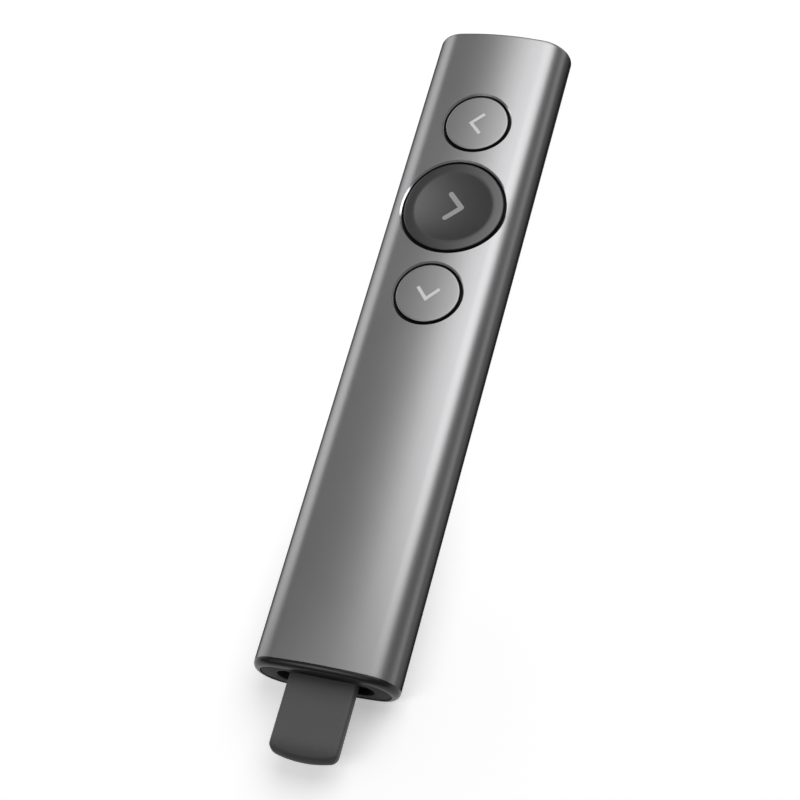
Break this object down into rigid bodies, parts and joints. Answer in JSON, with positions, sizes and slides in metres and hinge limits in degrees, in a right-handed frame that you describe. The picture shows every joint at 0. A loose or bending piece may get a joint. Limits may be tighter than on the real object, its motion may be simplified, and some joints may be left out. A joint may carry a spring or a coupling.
{
  "type": "wireless presentation clicker",
  "caption": "Slim oval handheld clicker for slides, with round press buttons on its face and a stowed radio receiver that pulls out of the base by a rubber tab.",
  "frame": {"origin": "centre of the whole length and width with the tab, on the surface the back rests on", "axes": "+Y towards the closed end, away from the pull tab; +Z out of the button face; +X to the right when the face is seen with the closed end up"},
  "size_m": [0.0268, 0.1494, 0.0121],
  "materials": {
    "anodised_barrel": "bead-blasted, dark grey anodised",
    "anodised_cap": "fine satin, grey anodised",
    "dark_cap": "fine matt",
    "gloss_rim": "polished",
    "matte_black": "fine matt",
    "dark_plastic": "moulded matt",
    "switch_metal": "stamped",
    "board_green": "solder mask",
    "tinned_steel": "tinned",
    "cell_foil": "laminate pouch",
    "foam_pad": "open foam",
    "lead_sleeve": "insulated lead",
    "aerial_film": "flexible circuit film",
    "tab_rubber": "soft-touch matt",
    "plug_steel": "nickel-plated",
    "white_plastic": "moulded",
    "gold_plate": "gold-plated"
  },
  "bodies": {
    "handset": {"barrel": "anodised_barrel", "base_rim": "gloss_rim", "base_plate": "matte_black", "receiver_bay": "dark_plastic", "top_switch": "switch_metal", "middle_switch": "switch_metal", "lower_switch": "switch_metal", "inner_frame": "dark_plastic", "main_board": "board_green", "radio_shield": "tinned_steel", "battery_cell": "cell_foil", "battery_pad": "foam_pad", "battery_leads": "lead_sleeve", "haptic_motor": "tinned_steel", "charge_port": "tinned_steel", "charge_port_tongue": "matte_black", "aerial_film": "aerial_film"},
    "top_button": {"top_button_cap": "anodised_cap"},
    "middle_button": {"middle_button_cap": "dark_cap"},
    "lower_button": {"lower_button_cap": "anodised_cap"},
    "receiver": {"receiver_tab": "tab_rubber", "receiver_case": "matte_black", "plug_shell": "plug_steel", "plug_carrier": "white_plastic", "receiver_board": "board_green", "plug_contacts": "gold_plate"}
  },
  "joints": [
    {"name": "top_button_press", "type": "slide", "parent": "handset", "child": "top_button", "axis": [0, 0, -1], "range_m": [0, 0.0005], "stiffness_N_per_m": 3000},
    {"name": "middle_button_press", "type": "slide", "parent": "handset", "child": "middle_button", "axis": [0, 0, -1], "range_m": [0, 0.0005], "stiffness_N_per_m": 3000},
    {"name": "lower_button_press", "type": "slide", "parent": "handset", "child": "lower_button", "axis": [0, 0, -1], "range_m": [0, 0.0005], "stiffness_N_per_m": 3000},
    {"name": "receiver_pull_out", "type": "slide", "parent": "handset", "child": "receiver", "axis": [0, -1, 0], "range_m": [0, 0.03]}
  ]
}
